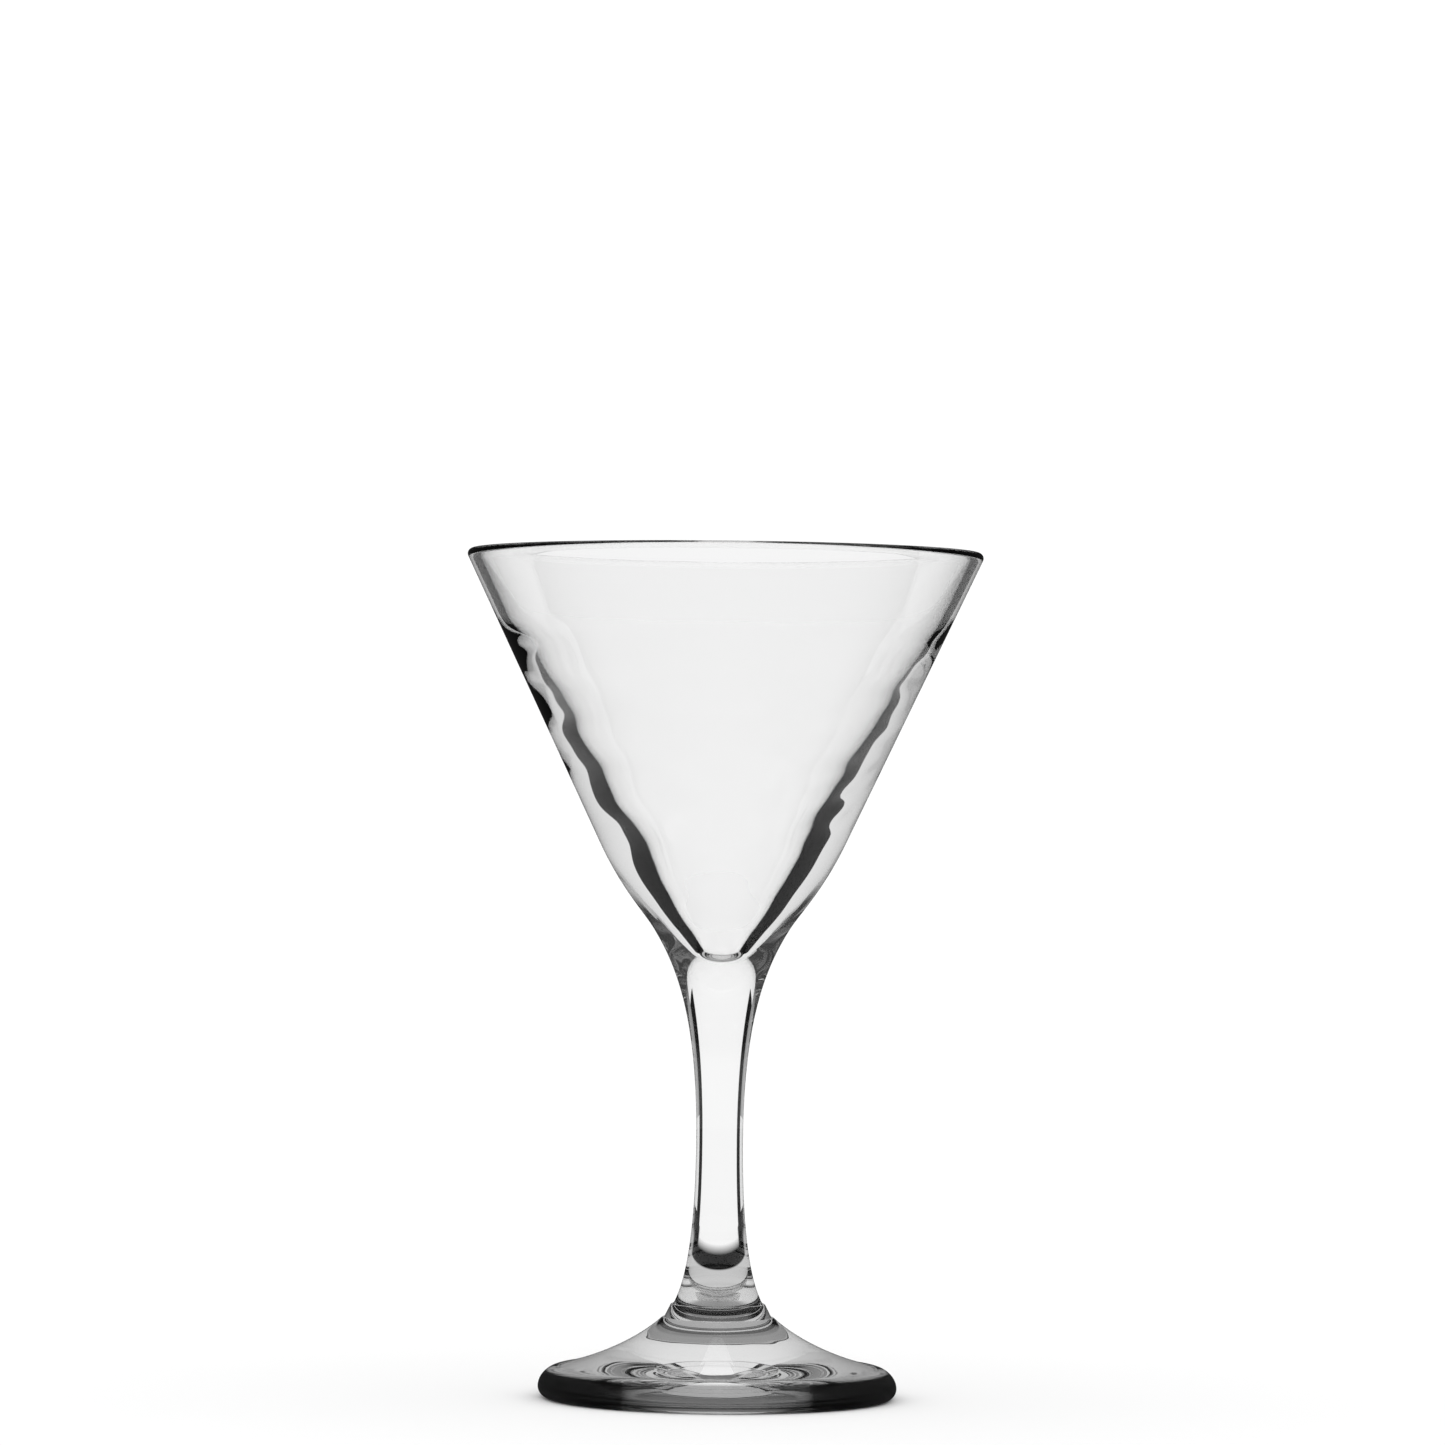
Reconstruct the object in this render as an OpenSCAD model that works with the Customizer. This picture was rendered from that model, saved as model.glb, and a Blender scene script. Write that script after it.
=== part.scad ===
// Stemmed cocktail glass: a conical bowl, a drawn stem and a disc foot, fused at two joints.
// Every piece is a body of revolution about Z. The origin is on the axis, in the plane it stands on.

/* [Overall] */
// Height from the resting ring to the crest of the rim
glass_h = 172; // [150:1:210]
// Outer diameter at the rim
rim_d = 104.8; // [90:0.2:130]
// Widest diameter of the foot
foot_d = 72.8; // [60:0.2:90]

/* [Bowl] */
// Height of the joint between bowl and stem, at its outer edge
bowl_joint_h = 95; // [85:0.5:110]
// Outer diameter of bowl and stem at that joint
bowl_joint_d = 27.4; // [22:0.2:32]
// Height of the rounded lower part of the bowl, between the joint and the straight cone
round_h = 17.6; // [12:0.2:24]
// Outer diameter at the top of the rounded part, where the straight cone starts
cone_foot_d = 49.8; // [44:0.2:58]
// Thickness of the wall just under the rim
rim_wall = 2.2; // [1.6:0.1:3]
// Depth below the crest of the rim at which the even wall ends and the inner cone begins
even_depth = 15.2; // [6:0.1:24]
// Radius of the rounded inner bottom
inner_bottom_r = 4.7; // [3:0.1:6]
// Depth of the inner bottom below the outer edge of the joint
inner_drop = 5.1; // [4:0.1:6]
// Solid glass between the inner bottom and the stem
bottom_wall = 4; // [3:0.1:6]

/* [Stem] */
// Diameter of the stem at its waist
waist_d = 9.5; // [7:0.1:13]
// Height of the waist
waist_h = 52.6; // [42:0.2:65]
// Diameter of the stem where it rises out of its collar
collar_neck_d = 18.2; // [15:0.1:20]
// Width of the ledge round the top of the collar
collar_ledge = 0.45; // [0.2:0.05:0.8]
// Height of the collar
collar_h = 2.7; // [1.6:0.1:4]
// Diameter of the stem's base, which stands on the boss of the foot
base_d = 21.8; // [20.6:0.2:27]

/* [Foot] */
// Height of the boss, where the stem stands on the foot
boss_h = 16.4; // [13:0.1:22]
// Width of the ledge that the boss leaves round the stem's base
boss_ledge = 0.45; // [0.2:0.05:1]
// Height of the foot's top surface just inside its rounded edge
edge_h = 6.4; // [5:0.1:9]
// Width of the rounded edge, seen from above
edge_w = 4.1; // [2.5:0.1:6]
// Height at which the foot is widest
edge_mid_h = 2.3; // [1.6:0.1:3.2]
// How far the resting ring lies inside the widest diameter
ring_inset = 2.4; // [1.6:0.1:5]
// Width of the flat resting ring
ring_w = 2; // [1:0.1:4]
// Depth of the hollow under the foot, at the middle
hollow_h = 1.8; // [0.6:0.1:3]

/* [Hidden] */
$fn = 96;
// Straight steps that each curve of an outline is made of
STEPS = 20;

// Handles of the curves, as shares of the height or the width that a curve spans
JOINT_HANDLE = 0.2;
CONE_HANDLE = 0.55;
SEAT_FLOOR_HANDLE = 0.72;
SEAT_EDGE_HANDLE = 0.5;
FLARE_FOOT_HANDLE = 0.17;
FLARE_WAIST_HANDLE = 0.36;
FLARE_IN = 0.8;
TRUMPET_WAIST_HANDLE = 0.6;
TRUMPET_JOINT_HANDLE = 0.16;
EDGE_ROUND_HANDLE = 0.55;
HOLLOW_FLOOR_HANDLE = 0.5;
HOLLOW_RING_HANDLE = 0.25;
// The top of the foot starts off this shallow, as rise per width, and meets the boss at this slope
FOOT_START_SLOPE = 0.21;
FOOT_BOSS_SLOPE = 0.93;
// Reach of its two handles, as shares of the width from edge to boss
FOOT_START_HANDLE = 0.32;
FOOT_BOSS_HANDLE = 0.25;
// How fast the outline widens at the joint of bowl and stem, as radius per height
JOINT_SLOPE = 0.61;
// The seat meets the joint at this slope, as radius per height
SEAT_SLOPE = 0.9;
// The easing above the inner cone takes this share of the height up to the rim, and as much below
EASE_SHARE = 0.5;

rim_r = rim_d / 2;
foot_r = foot_d / 2;
joint_r = bowl_joint_d / 2;
waist_r = waist_d / 2;
neck_r = collar_neck_d / 2;
base_r = base_d / 2;
boss_r = base_r + boss_ledge;
collar_top = boss_h + collar_h;
ring_r = foot_r - ring_inset;
ring_in_r = ring_r - ring_w;

// Joint of bowl and stem, and the lower end of the straight outer cone
joint = [joint_r, bowl_joint_h];
cone_foot = [cone_foot_d / 2, bowl_joint_h + round_h];

// The rim is a full round, as a flame melts it. The outer cone is the line from its foot that touches it.
rim_round = rim_wall / 2;
rim_mid = [rim_r - rim_round, glass_h - rim_round];
cone_angle = lean(cone_foot, rim_mid) + asin(rim_round / norm(rim_mid - cone_foot));
cone_slope = tan(cone_angle);
rim_out = rim_mid + rim_round * [cos(cone_angle), -sin(cone_angle)];
rim_in = rim_mid + rim_round * [-cos(cone_angle), sin(cone_angle)];

// Inner bottom, and the bottom of the seat in the stem
inner_bottom_h = bowl_joint_h - inner_drop;
inner_mid = [0, inner_bottom_h + inner_bottom_r];
seat_h = inner_bottom_h - bottom_wall;

// The corner where the even wall would meet the inner cone, which is the line from there that touches
// the round of the inner bottom, and the stretch over which the one eases into the other
corner = rim_in - (rim_in[1] - glass_h + even_depth) * [cone_slope, 1];
inner_angle = lean(inner_mid, corner) - asin(inner_bottom_r / norm(corner - inner_mid));
inner_slope = tan(inner_angle);
inner_start = inner_mid + inner_bottom_r * [cos(inner_angle), -sin(inner_angle)];
ease = (rim_in[1] - corner[1]) * EASE_SHARE;
ease_top = corner + ease * [cone_slope, 1];
ease_foot = corner - ease * [inner_slope, 1];

// Angle from upright of the line from a up to b, in degrees.
function lean(a, b) = atan2(b[0] - a[0], b[1] - a[1]);

// Points of a cubic curve from a to d with handles b and c, without its first point.
function curve(a, b, c, d) =
    [for (i = [1 : STEPS]) let (t = i / STEPS, u = 1 - t)
        u * u * u * a + 3 * u * u * t * b + 3 * u * t * t * c + t * t * t * d];

// Points of an arc about m with radius r, from angle a0 to angle a1, without its first point.
function arc(m, r, a0, a1) =
    [for (i = [1 : STEPS]) let (a = a0 + (a1 - a0) * i / STEPS) m + r * [cos(a), sin(a)]];

function reversed(points) = [for (i = [len(points) - 1 : -1 : 0]) points[i]];

// Seat that the underside of the bowl and the top of the stem share, from the axis out to the joint.
function seat() = concat(
    [[0, seat_h]],
    curve(
        [0, seat_h],
        [joint_r * SEAT_FLOOR_HANDLE, seat_h],
        joint - (bowl_joint_h - seat_h) * SEAT_EDGE_HANDLE * [SEAT_SLOPE, 1],
        joint
    )
);

// Outside of the bowl, from the joint up to the round of the rim.
function bowl_outside() = concat(
    curve(
        joint,
        joint + round_h * JOINT_HANDLE * [JOINT_SLOPE, 1],
        cone_foot - round_h * CONE_HANDLE * [cone_slope, 1],
        cone_foot
    ),
    [rim_out]
);

// Inside of the bowl, from the even wall under the rim down to the axis.
function bowl_inside() = concat(
    [ease_top],
    curve(ease_top, corner, corner, ease_foot),
    [inner_start],
    arc(inner_mid, inner_bottom_r, -inner_angle, -90)
);

module bowl() {
    color("aliceblue", 0.5)
        rotate_extrude()
            polygon(concat(
                seat(),
                bowl_outside(),
                arc(rim_mid, rim_round, -cone_angle, 180 - cone_angle),
                bowl_inside()
            ));
}

// Outside of the stem: base, collar with its ledge, flare down from the waist, trumpet up to the joint.
function stem_outside() = concat(
    [[base_r, boss_h], [neck_r + collar_ledge, collar_top], [neck_r, collar_top]],
    curve(
        [neck_r, collar_top],
        [neck_r - (neck_r - waist_r) * FLARE_IN, collar_top + (waist_h - boss_h) * FLARE_FOOT_HANDLE],
        [waist_r, waist_h - (waist_h - boss_h) * FLARE_WAIST_HANDLE],
        [waist_r, waist_h]
    ),
    curve(
        [waist_r, waist_h],
        [waist_r, waist_h + (bowl_joint_h - waist_h) * TRUMPET_WAIST_HANDLE],
        joint - (bowl_joint_h - waist_h) * TRUMPET_JOINT_HANDLE * [JOINT_SLOPE, 1],
        joint
    )
);

module stem() {
    color("lavender", 0.6)
        rotate_extrude()
            polygon(concat([[0, boss_h]], stem_outside(), reversed(seat())));
}

// Outside of the foot, from the resting ring round the edge and up to the rim of the boss.
function foot_outside() = concat(
    curve(
        [ring_r, 0],
        [ring_r + ring_inset * EDGE_ROUND_HANDLE, 0],
        [foot_r, edge_mid_h * (1 - EDGE_ROUND_HANDLE)],
        [foot_r, edge_mid_h]
    ),
    curve(
        [foot_r, edge_mid_h],
        [foot_r, edge_mid_h + (edge_h - edge_mid_h) * EDGE_ROUND_HANDLE],
        [foot_r - edge_w * (1 - EDGE_ROUND_HANDLE), edge_h],
        [foot_r - edge_w, edge_h]
    ),
    curve(
        [foot_r - edge_w, edge_h],
        [foot_r - edge_w, edge_h] + (foot_r - edge_w - boss_r) * FOOT_START_HANDLE * [-1, FOOT_START_SLOPE],
        [boss_r, boss_h] + (foot_r - edge_w - boss_r) * FOOT_BOSS_HANDLE * [1, -FOOT_BOSS_SLOPE],
        [boss_r, boss_h]
    )
);

// Underside of the foot, a shallow hollow from the axis out to the resting ring.
function foot_hollow() = concat(
    [[0, hollow_h]],
    curve(
        [0, hollow_h],
        [ring_in_r * HOLLOW_FLOOR_HANDLE, hollow_h],
        [ring_in_r * (1 - HOLLOW_RING_HANDLE), hollow_h / 2],
        [ring_in_r, 0]
    )
);

module foot() {
    color("lightsteelblue", 0.6)
        rotate_extrude()
            polygon(concat(foot_hollow(), [[ring_r, 0]], foot_outside(), [[0, boss_h]]));
}

bowl();
stem();
foot();
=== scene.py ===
"""Clear martini glass: bowl, stem and foot as three fused pieces of soda-lime glass, on a white sweep."""
from math import cos, pi, radians, sin, tan

import bpy
import numpy as np
from mathutils import Matrix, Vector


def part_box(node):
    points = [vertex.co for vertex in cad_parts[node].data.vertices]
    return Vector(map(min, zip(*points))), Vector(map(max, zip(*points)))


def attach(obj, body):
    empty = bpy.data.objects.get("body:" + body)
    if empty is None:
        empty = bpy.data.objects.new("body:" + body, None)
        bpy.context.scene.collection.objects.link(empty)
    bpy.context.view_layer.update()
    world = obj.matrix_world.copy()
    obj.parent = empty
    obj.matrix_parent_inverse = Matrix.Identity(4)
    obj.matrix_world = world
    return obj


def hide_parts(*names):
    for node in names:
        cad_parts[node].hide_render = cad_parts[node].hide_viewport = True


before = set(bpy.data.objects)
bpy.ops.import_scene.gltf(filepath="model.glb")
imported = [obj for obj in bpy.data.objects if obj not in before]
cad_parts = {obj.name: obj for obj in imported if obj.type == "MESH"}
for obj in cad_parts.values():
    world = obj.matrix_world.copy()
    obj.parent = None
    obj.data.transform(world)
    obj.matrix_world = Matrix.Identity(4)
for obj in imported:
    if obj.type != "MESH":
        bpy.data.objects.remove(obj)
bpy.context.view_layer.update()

MM = 0.001
TURN_STEPS = 256


# ---------------------------------------------------------------- small helpers

def linear(hex_value):
    """An sRGB hex colour such as "f4f4f2" as linear RGBA."""
    srgb = np.array([int(hex_value[i:i + 2], 16) / 255 for i in (0, 2, 4)])
    rgb = np.where(srgb <= 0.04045, srgb / 12.92, ((srgb + 0.055) / 1.055) ** 2.4)
    return (*rgb.tolist(), 1.0)


def grey(level):
    """A neutral colour of this linear brightness."""
    return (level, level, level, 1)


def add_node(tree, kind, inputs=None, **settings):
    """Adds a node, sets its own properties, and sets or links its inputs by name or number."""
    node = tree.nodes.new(kind)
    for key, value in settings.items():
        setattr(node, key, value)
    for key, value in (inputs or {}).items():
        if isinstance(value, bpy.types.NodeSocket):
            tree.links.new(value, node.inputs[key])
        else:
            node.inputs[key].default_value = value
    return node


def new_material(name):
    """An empty node material and its output node."""
    material = bpy.data.materials.new(name)
    material.use_nodes = True
    material.node_tree.nodes.clear()
    return material, add_node(material.node_tree, "ShaderNodeOutputMaterial")


def curve(a, b, c, d, steps):
    """Points of the cubic curve from a to d with handles b and c."""
    t = np.linspace(0, 1, steps + 1)[:, None]
    a, b, c, d = (np.asarray(p, float) for p in (a, b, c, d))
    return (1 - t) ** 3 * a + 3 * (1 - t) ** 2 * t * b + 3 * (1 - t) * t ** 2 * c + t ** 3 * d


def arc(middle, radius, start, end, steps):
    """Points of the arc about middle, between two angles in degrees."""
    t = np.radians(np.linspace(start, end, steps + 1))
    return np.asarray(middle) + radius * np.stack([np.cos(t), np.sin(t)], 1)


def line(a, b, steps):
    """Evenly spaced points of the straight line from a to b."""
    return np.linspace(a, b, steps + 1)


def joined(*stretches):
    """One outline from stretches that meet end to end, with each shared point kept once."""
    return np.concatenate([stretches[0]] + [s[1:] for s in stretches[1:]])


# ---------------------------------------------------------------- sizes of the glass

bowl_low, bowl_high = (np.array(p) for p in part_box("bowl"))
stem_high = np.array(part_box("stem")[1])
foot_low, foot_high = (np.array(p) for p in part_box("foot"))

RIM_R = bowl_high[0]
RIM_TOP = bowl_high[2]
JOINT = np.array([stem_high[0], stem_high[2]])
SEAT_H = bowl_low[2]
FOOT_R = foot_high[0]
BOSS_H = foot_high[2]

CONE_ANGLE = radians(25.3)
INNER_ANGLE = radians(31.4)
WALL = 2.2 * MM
ROUND_H = 17.6 * MM
INNER_BOTTOM_R = 4.7 * MM
BOTTOM_WALL = 4 * MM
WAIST_R = 4.75 * MM
WAIST_H = 52.6 * MM
NECK_R = 9.1 * MM
BASE_R = 10.9 * MM
COLLAR_H = 2.7 * MM
LEDGE = 0.45 * MM
EDGE_H = 6.4 * MM
EDGE_W = 4.1 * MM
EDGE_MID_H = 2.3 * MM
RING_INSET = 2.4 * MM
RING_W = 2 * MM
HOLLOW_H = 1.8 * MM

# Slopes of the outline as (width, height), and the handles of its curves as shares of what they span
JOINT_LEAN = np.array([0.61, 1])
SEAT_LEAN = np.array([0.9, 1])
CONE_LEAN = np.array([tan(CONE_ANGLE), 1])
INNER_LEAN = np.array([tan(INNER_ANGLE), 1])
FOOT_BROW_LEAN = np.array([-1, 0.21])
FOOT_BOSS_LEAN = np.array([1, -0.93])
SEAT_FLOOR, SEAT_EDGE = 0.72, 0.5
JOINT_REACH, CONE_REACH = 0.2, 0.55
EASE_SHARE = 0.5
FLARE_IN, FLARE_FOOT, FLARE_WAIST = 0.8, 0.17, 0.36
TRUMPET_WAIST, TRUMPET_JOINT = 0.6, 0.16
EDGE_ROUND = 0.55
BROW_REACH, BOSS_REACH = 0.32, 0.25
HOLLOW_FLOOR, HOLLOW_RING = 0.5, 0.75

# Steps of each stretch of an outline
SEAT_STEPS = 16
BASE_STEPS = 8
COLLAR_STEPS = 8
LEDGE_STEPS = 3
LONG_STEPS = 60
ROUND_STEPS = 40
RIM_STEPS = 24
INSIDE_STEPS = (10, 24, 90, 24)
EDGE_STEPS = (16, 20)
RING_STEPS = 4
BOSS_LEDGE_STEPS = 2


# ---------------------------------------------------------------- glass

GLASS_WHITE = linear("fdfdfd")
GLASS_IOR = 1.52

# Painted shade: the foot's edge is painted grey from its resting ring up to just under its brow, where the
# painted grey clears
EDGE_CLEAR_Z, EDGE_FULL_Z = 6.2 * MM, 5.4 * MM
EDGE_CLEAR_R, EDGE_FULL_R = 33.6 * MM, 34.2 * MM
PAINTED_EDGE_SHADE = [(0, 0.25), (9 * MM, 0.2), (19 * MM, 0.001), (40 * MM, 0.0005)]


def glass_surface(tree, colour):
    """The shader of smooth clear glass."""
    return add_node(tree, "ShaderNodeBsdfPrincipled", {
        "Base Color": colour, "Roughness": 0.0, "IOR": GLASS_IOR, "Transmission Weight": 1.0,
    }).outputs[0]


def soda_lime_glass():
    """Soda-lime glass, pressed and fire-polished: no colour of its own, edges gathered to dark lines."""
    material, output = new_material("soda_lime_glass")
    tree = material.node_tree
    tree.links.new(glass_surface(tree, GLASS_WHITE), output.inputs["Surface"])
    return material


def foot_glass():
    """The same glass on the foot, with painted shade. Its thick rounded edge has a grey painted into the
    glass colour that stands for the dark room such an edge gathers: nearly black at the left and right, mid
    grey at front and back, none above the brow."""
    material, output = new_material("foot_glass")
    tree = material.node_tree
    place = add_node(tree, "ShaderNodeTexCoord").outputs["Object"]
    axes = add_node(tree, "ShaderNodeSeparateXYZ", {0: place})
    across = add_node(tree, "ShaderNodeMath", {0: axes.outputs["X"]}, operation="ABSOLUTE").outputs[0]
    under_brow = add_node(tree, "ShaderNodeMapRange", {
        "Value": axes.outputs["Z"], "From Min": EDGE_CLEAR_Z, "From Max": EDGE_FULL_Z},
        interpolation_type="SMOOTHSTEP").outputs[0]
    outer = add_node(tree, "ShaderNodeMapRange", {
        "Value": level_distance(tree, place), "From Min": EDGE_CLEAR_R, "From Max": EDGE_FULL_R},
        interpolation_type="SMOOTHSTEP").outputs[0]
    edge = add_node(tree, "ShaderNodeMath", {0: under_brow, 1: outer}, operation="MULTIPLY").outputs[0]
    # Painted shade: the clear glass colour is greyed towards the rounded edge, standing in for the dark
    # room the edge would gather
    colour = mixed(tree, edge, GLASS_WHITE, tone_ramp(tree, across, PAINTED_EDGE_SHADE))
    tree.links.new(glass_surface(tree, colour), output.inputs["Surface"])
    return material


def fused_joint():
    """Where two gathers of glass were fused hot: one solid glass, so light crosses it unbent."""
    material, output = new_material("fused_joint")
    shader = add_node(material.node_tree, "ShaderNodeBsdfTransparent", {"Color": (1, 1, 1, 1)})
    material.node_tree.links.new(shader.outputs[0], output.inputs["Surface"])
    return material


# ---------------------------------------------------------------- tones by place and by path

def tone_ramp(tree, value, stops):
    """A grey that follows value through (value, grey) stops, from 0 to the last one."""
    full = stops[-1][0]
    share = add_node(tree, "ShaderNodeMath", {0: value, 1: full}, operation="DIVIDE")
    ramp = add_node(tree, "ShaderNodeValToRGB", {0: share.outputs[0]})
    while len(ramp.color_ramp.elements) < len(stops):
        ramp.color_ramp.elements.new(1)
    for element, (at, level) in zip(ramp.color_ramp.elements, stops):
        element.position = at / full
        element.color = grey(level)
    return ramp.outputs["Color"]


def mixed(tree, factor, a, b):
    """Colour a where factor is 0 and b where it is 1."""
    return add_node(tree, "ShaderNodeMix", {"Factor": factor, 6: a, 7: b}, data_type="RGBA").outputs[2]


def between(tree, value, low, high):
    """1 where value lies between low and high, else 0."""
    middle, reach = (low + high) / 2, (high - low) / 2
    return add_node(tree, "ShaderNodeMath", {0: value, 1: middle, 2: reach}, operation="COMPARE").outputs[0]


def above(tree, value, limit):
    """1 where value is more than limit, else 0."""
    return add_node(tree, "ShaderNodeMath", {0: value, 1: limit}, operation="GREATER_THAN").outputs[0]


def level_distance(tree, place):
    """Distance of a place from the upright axis through the glass."""
    flat = add_node(tree, "ShaderNodeVectorMath", {0: place, 1: (1, 1, 0)}, operation="MULTIPLY").outputs[0]
    return add_node(tree, "ShaderNodeVectorMath", {0: flat}, operation="LENGTH").outputs["Value"]


def bearing(tree, axes):
    """Angle round the glass from straight behind it, 0 to 180 degrees, the same on both sides."""
    turn = add_node(tree, "ShaderNodeMath", {
        0: axes.outputs["X"], 1: axes.outputs["Y"]}, operation="ARCTAN2")
    size = add_node(tree, "ShaderNodeMath", {0: turn.outputs[0]}, operation="ABSOLUTE")
    return add_node(tree, "ShaderNodeMath", {0: size.outputs[0]}, operation="DEGREES").outputs[0]


def slack_of(tree, distance):
    """How much longer a ray's last stretch was than its place's distance from the axis: about 0 for a
    level ray that left the glass near the axis, more for one that fell or crossed over."""
    path = add_node(tree, "ShaderNodeLightPath").outputs
    return add_node(tree, "ShaderNodeMath", {
        0: path["Ray Length"], 1: distance}, operation="SUBTRACT").outputs[0]


# What a reflection off the outside sees, and a ray that faces have mirrored three times or more
ROOM = grey(0.02)
MANY_TURNS = grey(0.62)

# A ray through both walls of the bowl has crossed four faces, one off the outside has crossed none
ONE_WALL = 3.5
NO_FACE = 0.5


def gathered(tree, bent, turned, twice, counted=0.5):
    """What a ray from the glass sees, and 1 if it is one. It sees the tone bent if no face mirrored it,
    turned if one did, twice if two did, and an even grey past that. A reflection off the outside sees the
    dark room. A ray straight through both walls of the bowl counts as none, so it sees the plain studio.
    The world counts every ray one bounce further on, which counted makes up for."""
    path = add_node(tree, "ShaderNodeLightPath").outputs
    crossed = path["Transmission Depth"]
    by_glass = add_node(tree, "ShaderNodeMath", {
        0: path["Is Transmission Ray"], 1: path["Is Glossy Ray"]}, operation="MAXIMUM").outputs[0]
    turns = add_node(tree, "ShaderNodeMath", {
        0: path["Ray Depth"], 1: crossed}, operation="SUBTRACT").outputs[0]
    once, again, often = (above(tree, turns, counted + more) for more in range(3))
    outside = add_node(tree, "ShaderNodeMath", {0: crossed, 1: NO_FACE}, operation="LESS_THAN").outputs[0]
    one_wall = add_node(tree, "ShaderNodeMath", {0: crossed, 1: ONE_WALL}, operation="LESS_THAN").outputs[0]
    tone = mixed(tree, once, bent, turned)
    tone = mixed(tree, again, tone, twice)
    tone = mixed(tree, often, tone, MANY_TURNS)
    tone = mixed(tree, outside, tone, ROOM)
    either = add_node(tree, "ShaderNodeMath", {0: one_wall, 1: once}, operation="MAXIMUM").outputs[0]
    through = add_node(tree, "ShaderNodeMath", {0: by_glass, 1: either}, operation="MULTIPLY").outputs[0]
    return through, tone


# ---------------------------------------------------------------- studio materials

# Painted light and shade on the table for bent and for mirrored rays: the painted shade under the glass,
# then rings of it as (inner radius, width of its soft start, (bearing in degrees, grey) stops), with a
# painted shadow under the foot's edge and dark fields painted as of black cards
BENT_UNDER, TURNED_UNDER = 0.7, 0.6
BENT_PAINTED_TABLE = [
    (0.028, 0.003, [(0, 0.6), (50, 0.6), (80, 0.02), (150, 0.02), (165, 0.2), (180, 0.4)]),
    (0.048, 0.010, [(0, 0.6), (180, 0.6)]),
    (0.080, 0.004, [(0, 0.004), (49, 0.004), (56, 0.5), (180, 0.6)]),
    (0.118, 0.030, [(0, 1), (32, 1), (35, 0.01), (60, 0.01), (70, 0.4), (90, 0.6), (180, 0.7)]),
]
TURNED_PAINTED_TABLE = [
    (0.0, 0.001, [(0, 0.3), (8, 0.35), (14, 0.7), (180, 0.7)]),
    (0.0305, 0.001, [(0, 0.25), (6, 0.2), (9, 0.004), (150, 0.004), (165, 0.2), (180, 0.4)]),
    (0.050, 0.005, [(0, 0.5), (180, 0.5)]),
    (0.080, 0.004, [(0, 0.004), (75, 0.01), (100, 0.2), (180, 0.4)]),
    (0.113, 0.020, [(0, 1), (32, 1), (35, 0.004), (75, 0.004), (100, 0.3), (180, 0.5)]),
]
PALE_TABLE = grey(0.9)

# Within this distance bent rays see the pattern if they came level, and past it if they fell
NEAR_TABLE = 0.22
LEVEL_SLACK = (-1, 0.010)
FALLEN_SLACK = (0.004, 1)

# The panel is white across its middle and black past it, a little wider for bent than for mirrored rays
PANEL_BENT = [(0, 1), (0.105, 1), (0.109, 0.006), (0.2, 0.006)]
PANEL_TURNED = [(0, 0.85), (0.091, 0.85), (0.094, 0.004), (0.2, 0.004)]
PANEL_TOP = [(0, 0), (0.16, 0), (0.17, 1), (0.45, 1)]
PANEL_HIGH = grey(0.9)
PANEL_SLACK = 0.012


def painted_table_light_and_shade(tree, radius, side, under, zones):
    """Painted light and shade on the table by distance from the glass and by bearing. Each zone has a soft
    start.
    """
    tone = grey(under)
    for start, soft, stops in zones:
        step = add_node(tree, "ShaderNodeMapRange", {
            "Value": radius, "From Min": start, "From Max": start + soft}).outputs[0]
        tone = mixed(tree, step, tone, tone_ramp(tree, side, stops))
    return tone


def matt_white_sweep():
    """Matt white laminate of a studio sweep: an even pale ground with no gloss. Rays that the glass has
    bent or mirrored see painted light and shade on it instead: glowing light and dark fields, painted as of
    black cards and shadow."""
    material, output = new_material("matt_white_sweep")
    tree = material.node_tree
    laminate = add_node(tree, "ShaderNodeBsdfDiffuse", {"Color": linear("eaeaea")}).outputs[0]
    place = add_node(tree, "ShaderNodeTexCoord").outputs["Object"]
    radius = add_node(tree, "ShaderNodeVectorMath", {0: place}, operation="LENGTH").outputs["Value"]
    side = bearing(tree, add_node(tree, "ShaderNodeSeparateXYZ", {0: place}))
    bent = painted_table_light_and_shade(tree, radius, side, BENT_UNDER, BENT_PAINTED_TABLE)
    turned = painted_table_light_and_shade(tree, radius, side, TURNED_UNDER, TURNED_PAINTED_TABLE)
    slack = slack_of(tree, radius)
    near = add_node(tree, "ShaderNodeMath", {0: radius, 1: NEAR_TABLE}, operation="LESS_THAN").outputs[0]
    kept = mixed(tree, near, between(tree, slack, *FALLEN_SLACK), between(tree, slack, *LEVEL_SLACK))
    bent = mixed(tree, kept, PALE_TABLE, bent)
    through, tone = gathered(tree, bent, turned, turned)
    # Painted light and shade: for rays from the glass the table glows with these tones as emission, with no
    # lamp behind them
    pattern = add_node(tree, "ShaderNodeEmission", {"Color": tone, "Strength": 1.0}).outputs[0]
    shader = add_node(tree, "ShaderNodeMixShader", {0: through, 1: laminate, 2: pattern}).outputs[0]
    tree.links.new(shader, output.inputs["Surface"])
    material.cycles.emission_sampling = "NONE"
    return material


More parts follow.
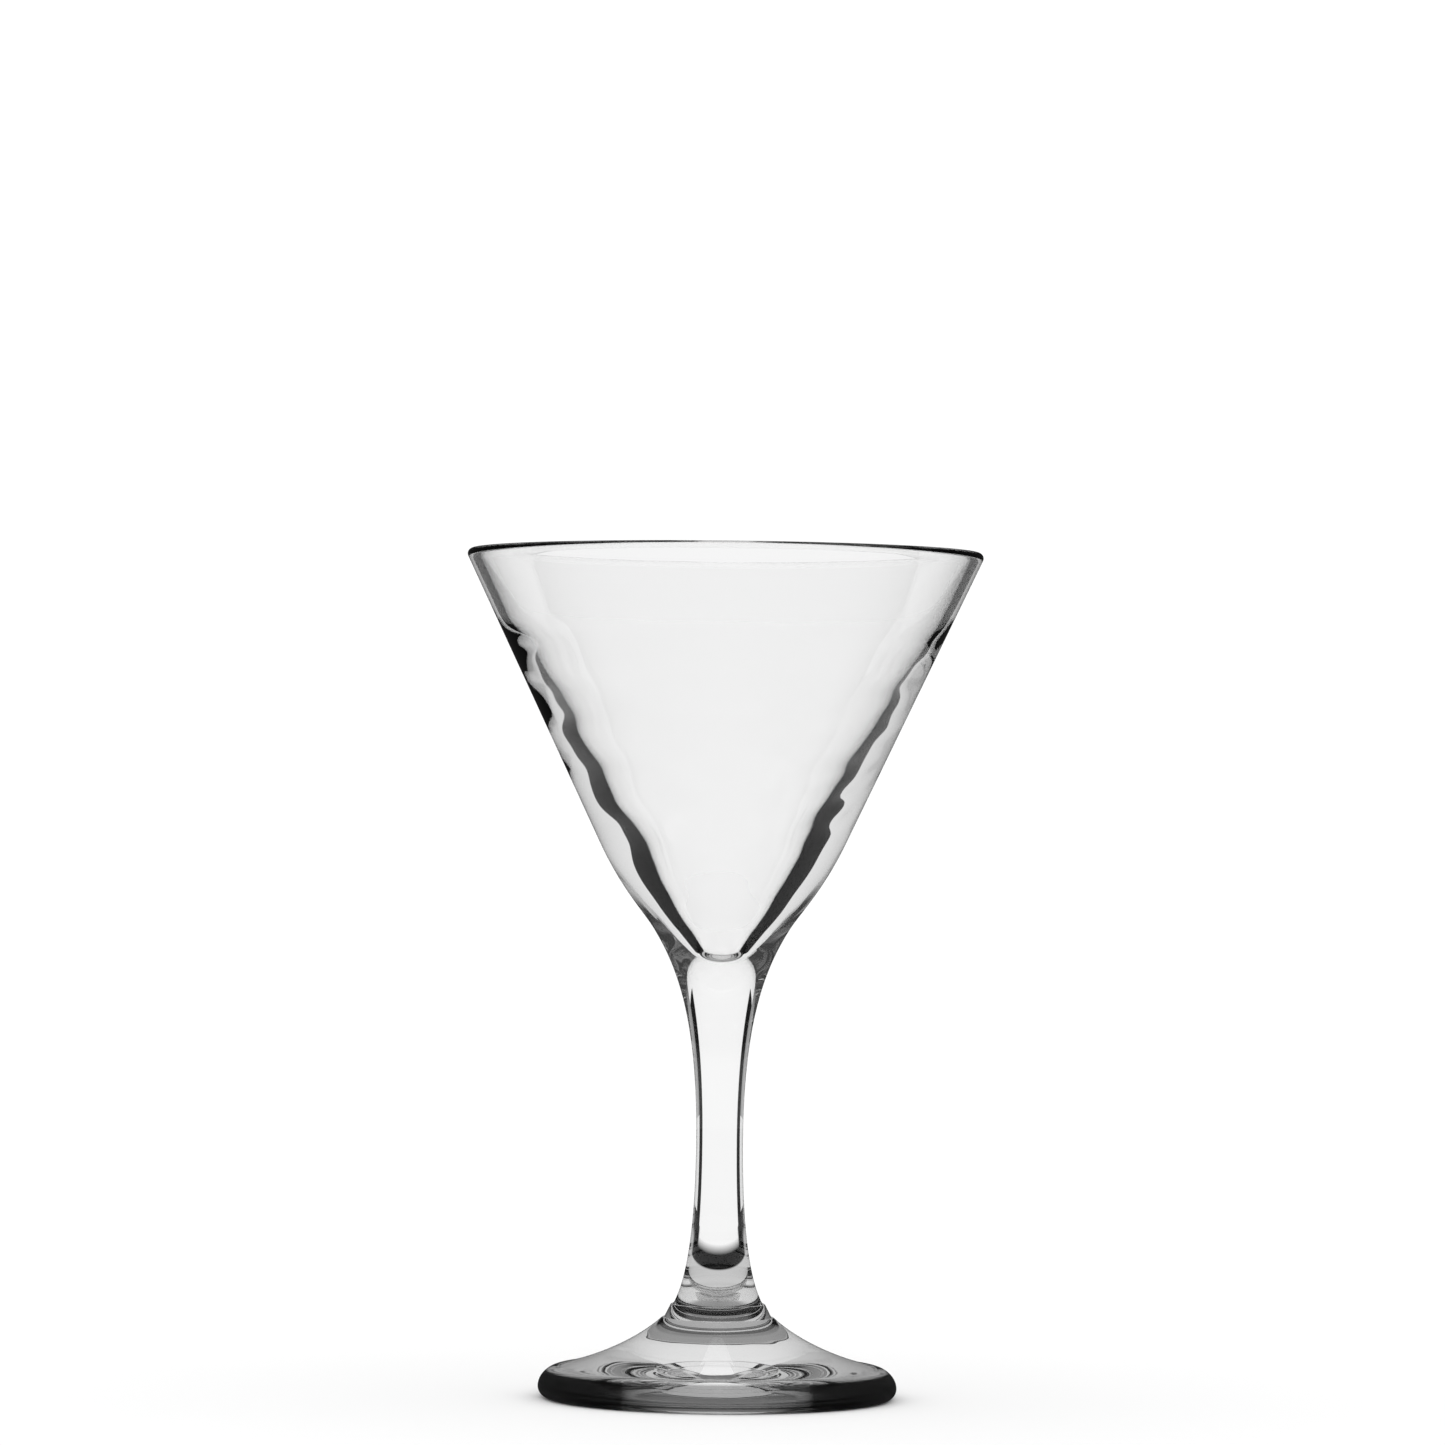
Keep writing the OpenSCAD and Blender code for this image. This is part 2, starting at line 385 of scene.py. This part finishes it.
def opal_screen():
    """Opal acrylic of a light panel in its black frame: an even white field with sharp dark sides, seen
    only by rays that the glass has bent or mirrored, and clear for all others."""
    material, output = new_material("opal_screen")
    tree = material.node_tree
    place = add_node(tree, "ShaderNodeTexCoord").outputs["Object"]
    axes = add_node(tree, "ShaderNodeSeparateXYZ", {0: place})
    across = add_node(tree, "ShaderNodeMath", {0: axes.outputs["X"]}, operation="ABSOLUTE").outputs[0]
    bent = tone_ramp(tree, across, PANEL_BENT)
    high = tone_ramp(tree, axes.outputs["Z"], PANEL_TOP)
    turned = mixed(tree, high, tone_ramp(tree, across, PANEL_TURNED), PANEL_HIGH)
    slack = slack_of(tree, level_distance(tree, place))
    bent = mixed(tree, between(tree, slack, -PANEL_SLACK, PANEL_SLACK), grey(1), bent)
    through, tone = gathered(tree, bent, turned, ROOM)
    clear = add_node(tree, "ShaderNodeBsdfTransparent").outputs[0]
    light = add_node(tree, "ShaderNodeEmission", {"Color": tone, "Strength": 1.0}).outputs[0]
    shader = add_node(tree, "ShaderNodeMixShader", {0: through, 1: clear, 2: light}).outputs[0]
    tree.links.new(shader, output.inputs["Surface"])
    material.cycles.emission_sampling = "NONE"
    return material


# ---------------------------------------------------------------- bodies of revolution

def turned_points(r, z, t):
    """Places of the points (r, z) at turn t."""
    return np.stack([r * np.cos(t), r * np.sin(t), z], -1)


def revolve(name, outline, materials, fused=(), creases=(), shift=None):
    """A closed body: each outline point (r, z) is turned about Z to (r cos t, r sin t, z). The outline
    starts and ends on the axis. shift(r, z, t) gives the points' new radii and heights. fused lists the
    stretches between neighbouring points that take the second material, creases the sharp points."""
    t = np.linspace(0, 2 * pi, TURN_STEPS, endpoint=False)
    rings = outline[1:-1]
    r, z = (np.repeat(rings[:, k:k + 1], TURN_STEPS, 1) for k in (0, 1))
    if shift:
        r, z = shift(r, z, np.broadcast_to(t, r.shape))
    grid = turned_points(r, z, t).reshape(-1, 3)
    poles = [(0, 0, outline[0][1]), (0, 0, outline[-1][1])]
    verts = np.concatenate([grid, poles])
    number = np.arange(len(grid)).reshape(len(rings), TURN_STEPS)
    after = np.roll(number, -1, 1)
    quads = np.stack([number[:-1], after[:-1], after[1:], number[1:]], 2).reshape(-1, 4)
    first = np.stack([np.full(TURN_STEPS, len(grid)), after[0], number[0]], 1)
    last = np.stack([np.full(TURN_STEPS, len(grid) + 1), number[-1], after[-1]], 1)
    mesh = bpy.data.meshes.new(name)
    mesh.from_pydata(verts.tolist(), [], first.tolist() + quads.tolist() + last.tolist())
    stretch = np.concatenate([
        np.zeros(TURN_STEPS, int),
        np.repeat(np.arange(1, len(rings)), TURN_STEPS),
        np.full(TURN_STEPS, len(rings)),
    ])
    for material in materials:
        mesh.materials.append(material)
    mesh.polygons.foreach_set("material_index", np.isin(stretch, list(fused)).astype(np.int32))
    mesh.shade_smooth()
    ends = np.empty(len(mesh.edges) * 2, np.int32)
    mesh.edges.foreach_get("vertices", ends)
    point_of = np.concatenate([np.repeat(np.arange(1, len(rings) + 1), TURN_STEPS), [0, len(rings) + 1]])
    ends = point_of[ends.reshape(-1, 2)]
    sharp = (ends[:, 0] == ends[:, 1]) & np.isin(ends[:, 0], list(creases))
    mesh.attributes.new("sharp_edge", "BOOLEAN", "EDGE").data.foreach_set("value", sharp)
    mesh.validate()
    piece = bpy.data.objects.new(name, mesh)
    bpy.context.scene.collection.objects.link(piece)
    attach(piece, "root")
    return piece


WAVE_COUNT = 9


def ripple(points, wavelength, seed):
    """Smooth unevenness between about -1 and 1: plane waves of one length, in seeded random directions."""
    chance = np.random.default_rng(seed)
    ways = chance.normal(size=(WAVE_COUNT, 3))
    ways *= 2 * pi / wavelength / np.linalg.norm(ways, axis=1, keepdims=True)
    phase = chance.uniform(0, 2 * pi, WAVE_COUNT)
    return np.sin(points @ ways.T + phase).sum(-1) * (2 / WAVE_COUNT) ** 0.5


def bump(x, middle, reach):
    """A smooth hill of height 1 about middle, fallen to about a third at reach."""
    return np.exp(-((x - middle) / reach) ** 2)


def fallen(x, none, full):
    """A smooth step up or down: 0 at none and beyond it, 1 at full and beyond."""
    share = np.clip((x - none) / (full - none), 0, 1)
    return share * share * (3 - 2 * share)


# ---------------------------------------------------------------- the glass

def seat():
    """The fused joint of bowl and stem, from the axis out: a cubic curve that starts level."""
    floor = np.array([0, SEAT_H])
    edge = JOINT - (JOINT[1] - SEAT_H) * SEAT_EDGE * SEAT_LEAN
    return curve(floor, floor + [JOINT[0] * SEAT_FLOOR, 0], edge, JOINT, SEAT_STEPS)


def bowl_outline():
    """Seat, rounded lower bowl, straight cone, full round rim, even wall, inner cone, round bottom."""
    half = WALL / 2
    rim_mid = np.array([RIM_R - half, RIM_TOP - half])
    across = np.array([cos(CONE_ANGLE), -sin(CONE_ANGLE)])
    rim_out, rim_in = rim_mid + half * across, rim_mid - half * across
    cone_foot = rim_out - (rim_out[1] - JOINT[1] - ROUND_H) * CONE_LEAN
    bottom_mid = np.array([0, SEAT_H + BOTTOM_WALL + INNER_BOTTOM_R])
    inner_start = bottom_mid + INNER_BOTTOM_R * np.array([cos(INNER_ANGLE), -sin(INNER_ANGLE)])
    gap = rim_in - inner_start
    rise = (gap[0] - gap[1] * CONE_LEAN[0]) / (INNER_LEAN[0] - CONE_LEAN[0])
    corner = inner_start + rise * INNER_LEAN
    ease = (rim_in[1] - corner[1]) * EASE_SHARE
    ease_top, ease_foot = corner + ease * CONE_LEAN, corner - ease * INNER_LEAN
    out_deg, in_deg = np.degrees([CONE_ANGLE, INNER_ANGLE])
    even_steps, ease_steps, cone_steps, bottom_steps = INSIDE_STEPS
    return joined(
        seat(),
        curve(JOINT, JOINT + ROUND_H * JOINT_REACH * JOINT_LEAN,
              cone_foot - ROUND_H * CONE_REACH * CONE_LEAN, cone_foot, ROUND_STEPS),
        line(cone_foot, rim_out, LONG_STEPS),
        arc(rim_mid, half, -out_deg, 180 - out_deg, RIM_STEPS),
        line(rim_in, ease_top, even_steps),
        curve(ease_top, corner, corner, ease_foot, ease_steps),
        line(ease_foot, inner_start, cone_steps),
        arc(bottom_mid, INNER_BOTTOM_R, -in_deg, -90, bottom_steps),
    )


def stem_outline():
    """Base disc, collar with its ledge, flare up to the waist, trumpet up to the joint, then the seat."""
    top = BOSS_H + COLLAR_H
    neck, waist = np.array([NECK_R, top]), np.array([WAIST_R, WAIST_H])
    flare, trumpet = WAIST_H - BOSS_H, JOINT[1] - WAIST_H
    flare_foot = (NECK_R - (NECK_R - WAIST_R) * FLARE_IN, top + flare * FLARE_FOOT)
    return joined(
        line((0, BOSS_H), (BASE_R, BOSS_H), BASE_STEPS),
        line((BASE_R, BOSS_H), (NECK_R + LEDGE, top), COLLAR_STEPS),
        line((NECK_R + LEDGE, top), neck, LEDGE_STEPS),
        curve(neck, flare_foot, waist - [0, flare * FLARE_WAIST], waist, LONG_STEPS),
        curve(waist, waist + [0, trumpet * TRUMPET_WAIST],
              JOINT - trumpet * TRUMPET_JOINT * JOINT_LEAN, JOINT, LONG_STEPS),
        seat()[::-1],
    )


def foot_outline():
    """Hollow, resting ring, rounded edge, sweep up to the boss, its ledge and the disc under the stem."""
    ring = FOOT_R - RING_INSET
    boss = np.array([BASE_R + LEDGE, BOSS_H])
    widest, brow = np.array([FOOT_R, EDGE_MID_H]), np.array([FOOT_R - EDGE_W, EDGE_H])
    width = brow[0] - boss[0]
    inner = ring - RING_W
    lower_steps, upper_steps = EDGE_STEPS
    return joined(
        curve((0, HOLLOW_H), (inner * HOLLOW_FLOOR, HOLLOW_H),
              (inner * HOLLOW_RING, HOLLOW_H / 2), (inner, 0), LONG_STEPS),
        line((inner, 0), (ring, 0), RING_STEPS),
        curve((ring, 0), (ring + RING_INSET * EDGE_ROUND, 0),
              widest - [0, EDGE_MID_H * EDGE_ROUND], widest, lower_steps),
        curve(widest, widest + [0, (EDGE_H - EDGE_MID_H) * EDGE_ROUND],
              brow + [EDGE_W * (1 - EDGE_ROUND), 0], brow, upper_steps),
        curve(brow, brow + width * BROW_REACH * FOOT_BROW_LEAN,
              boss + width * BOSS_REACH * FOOT_BOSS_LEAN, boss, LONG_STEPS),
        line(boss, (BASE_R, BOSS_H), BOSS_LEDGE_STEPS),
        line((BASE_R, BOSS_H), (0, BOSS_H), BASE_STEPS),
    )


# Heights between which the unevenness of the bowl's inside sets in, from the top and from the bottom,
# and the width over which the foot's fades out towards its resting ring
FADE_TOP, FADE_BOTTOM = (0.164, 0.150), (0.094, 0.100)
HOLLOW_END_R, HOLLOW_FADE = 31 * MM, 4 * MM


def pressed_inside(r, z, t):
    """Unevenness of the plunger's side, in millimetres: the inner cone leans to the right, then to the
    left, then to the right from the top down, and has rings of chill waves, a finer ripple and a rough
    patch on its right. It fades out below the rim and towards the bottom. The outside stays true."""
    inside = np.arange(len(r))[:, None] >= len(r) - sum(INSIDE_STEPS)
    points = turned_points(r, z, t)
    fade = fallen(z, *FADE_TOP) * fallen(z, *FADE_BOTTOM)
    lean = 0.25 * bump(z, 0.143, 0.012) - 0.25 * bump(z, 0.1215, 0.006) + 0.2 * bump(z, 0.110, 0.005)
    waves = 0.05 * ripple(points * (0.25, 0.25, 1), 0.012, 4)
    waves = waves + 0.012 * ripple(points * (0.3, 0.3, 1), 0.005, 7)
    patch = bump(z, 0.121, 0.007) * np.clip(np.cos(t), 0, 1)
    rough = 0.03 * ripple(points * (0.6, 0.6, 1), 0.0042, 2) * patch
    return r + (lean * np.cos(t) + waves + rough) * fade * MM * inside, z


def moulded_underside(r, z, t):
    """Unevenness of the hollow under the foot, in millimetres, with none at the resting ring."""
    points = turned_points(r, z, t)
    hollow = np.arange(len(r))[:, None] < LONG_STEPS - 1
    waves = 0.003 * ripple(points, 0.009, 5) + 0.0015 * ripple(points, 0.0035, 6)
    return r, z + np.where(hollow, waves * MM * np.clip((HOLLOW_END_R - r) / HOLLOW_FADE, 0, 1), 0)


glass, joint = soda_lime_glass(), fused_joint()
bowl = revolve("bowl_glass", bowl_outline(), [glass, joint], fused=range(SEAT_STEPS),
               creases=[SEAT_STEPS], shift=pressed_inside)
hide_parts("bowl")

outline = stem_outline()
seat_at = len(outline) - 1 - SEAT_STEPS
ledge_at = BASE_STEPS + COLLAR_STEPS
stem = revolve("stem_glass", outline, [glass, joint],
               fused=[*range(BASE_STEPS), *range(seat_at, len(outline))],
               creases=[BASE_STEPS, ledge_at, ledge_at + LEDGE_STEPS, seat_at])
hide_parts("stem")

outline = foot_outline()
base_at = len(outline) - 1 - BASE_STEPS
foot = revolve("foot_glass", outline, [foot_glass(), joint], fused=range(base_at, len(outline)),
               creases=[LONG_STEPS, LONG_STEPS + RING_STEPS, base_at - BOSS_LEDGE_STEPS, base_at],
               shift=moulded_underside)
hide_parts("foot")


# ---------------------------------------------------------------- studio

SWEEP_RADIUS = 6.0
SWEEP_STEPS = 96
SWEEP_MIDDLE = 1 / 40


def sweep():
    """A round floor: two rings about the axis, at the height the glass stands on, and a point within."""
    t = np.linspace(0, 2 * pi, SWEEP_STEPS, endpoint=False)
    rings = [turned_points(radius, np.zeros(SWEEP_STEPS), t)
             for radius in (SWEEP_RADIUS * SWEEP_MIDDLE, SWEEP_RADIUS)]
    verts = np.concatenate([[(0, 0, foot_low[2])], *rings])
    inner = 1 + np.arange(SWEEP_STEPS)
    after = np.roll(inner, -1)
    middle = np.stack([np.zeros(SWEEP_STEPS, int), inner, after], 1)
    outer = np.stack([inner, inner + SWEEP_STEPS, after + SWEEP_STEPS, after], 1)
    mesh = bpy.data.meshes.new("floor")
    mesh.from_pydata(verts.tolist(), [], middle.tolist() + outer.tolist())
    mesh.materials.append(matt_white_sweep())
    floor = bpy.data.objects.new("floor", mesh)
    bpy.context.scene.collection.objects.link(floor)


def light_panel(distance, half_width, height):
    """An upright screen behind the glass, which the camera itself doesn't see: one flat quad."""
    corners = [(-half_width, distance, 0), (half_width, distance, 0),
               (half_width, distance, height), (-half_width, distance, height)]
    mesh = bpy.data.meshes.new("light_panel")
    mesh.from_pydata(corners, [], [(0, 1, 2, 3)])
    mesh.materials.append(opal_screen())
    panel = bpy.data.objects.new("light_panel", mesh)
    bpy.context.scene.collection.objects.link(panel)
    panel.visible_camera = panel.visible_diffuse = panel.visible_shadow = False


# Greys of the walls by bearing, for plain, bent and mirrored rays, and the brightness of what is overhead
WALLS_PLAIN = [(0, 1), (60, 1), (120, 0.9), (180, 0.9)]
WALLS_BENT = [(0, 1), (49, 1), (50, 0.3), (62, 0.45), (90, 0.8), (180, 0.85)]
WALLS_TURNED = [(0, 1), (33, 1), (36, 0.01), (60, 0.02), (90, 0.6), (180, 0.8)]
OVERHEAD_PLAIN, OVERHEAD_GLASS = grey(1.3), grey(0.05)
OVERHEAD_START, OVERHEAD_FULL = 0.35, 0.6
WORLD_STRENGTH = 1.05


def studio_world():
    """Light by direction: pale walls and a soft top light. Rays that the glass has bent or mirrored see a
    white field behind, dark flags each side of it, grey walls and a dark ceiling."""
    world = bpy.data.worlds.new("studio")
    world.use_nodes = True
    tree = world.node_tree
    tree.nodes.clear()
    coord = add_node(tree, "ShaderNodeTexCoord")
    axes = add_node(tree, "ShaderNodeSeparateXYZ", {0: coord.outputs["Generated"]})
    side = bearing(tree, axes)
    plain, bent, turned = (
        tone_ramp(tree, side, stops) for stops in (WALLS_PLAIN, WALLS_BENT, WALLS_TURNED))
    through, walls = gathered(tree, bent, turned, turned, counted=1.5)
    walls = mixed(tree, through, plain, walls)
    up = add_node(tree, "ShaderNodeMapRange", {
        "Value": axes.outputs["Z"], "From Min": OVERHEAD_START, "From Max": OVERHEAD_FULL},
        interpolation_type="SMOOTHSTEP").outputs[0]
    colour = mixed(tree, up, walls, mixed(tree, through, OVERHEAD_PLAIN, OVERHEAD_GLASS))
    light = add_node(tree, "ShaderNodeBackground", {"Color": colour, "Strength": WORLD_STRENGTH})
    output = add_node(tree, "ShaderNodeOutputWorld")
    tree.links.new(light.outputs[0], output.inputs[0])
    bpy.context.scene.world = world


CAMERA_PLACE = (-0.0003, -1.30, 0.120)
TILT, ROLL = radians(0.754), radians(0.6)
SENSOR_MM, LENS_MM = 36, 159.4


def portrait_camera():
    """A long lens 1.3 m off, a little below the middle of the bowl, so the rim shows from just below."""
    data = bpy.data.cameras.new("camera")
    data.sensor_width = SENSOR_MM
    data.lens = LENS_MM
    camera = bpy.data.objects.new("camera", data)
    bpy.context.scene.collection.objects.link(camera)
    turn = Matrix.Rotation(pi / 2 + TILT, 4, "X") @ Matrix.Rotation(ROLL, 4, "Z")
    camera.matrix_world = Matrix.Translation(CAMERA_PLACE) @ turn
    bpy.context.scene.camera = camera


sweep()
light_panel(distance=0.150, half_width=0.172, height=0.45)
studio_world()
portrait_camera()

# Light is followed through many faces, because a ray may be mirrored often inside thick glass
MOST_BOUNCES = 24
scene = bpy.context.scene
scene.view_settings.view_transform = "Standard"
scene.cycles.max_bounces = MOST_BOUNCES
scene.cycles.transmission_bounces = MOST_BOUNCES
scene.cycles.glossy_bounces = MOST_BOUNCES
scene.cycles.transparent_max_bounces = MOST_BOUNCES
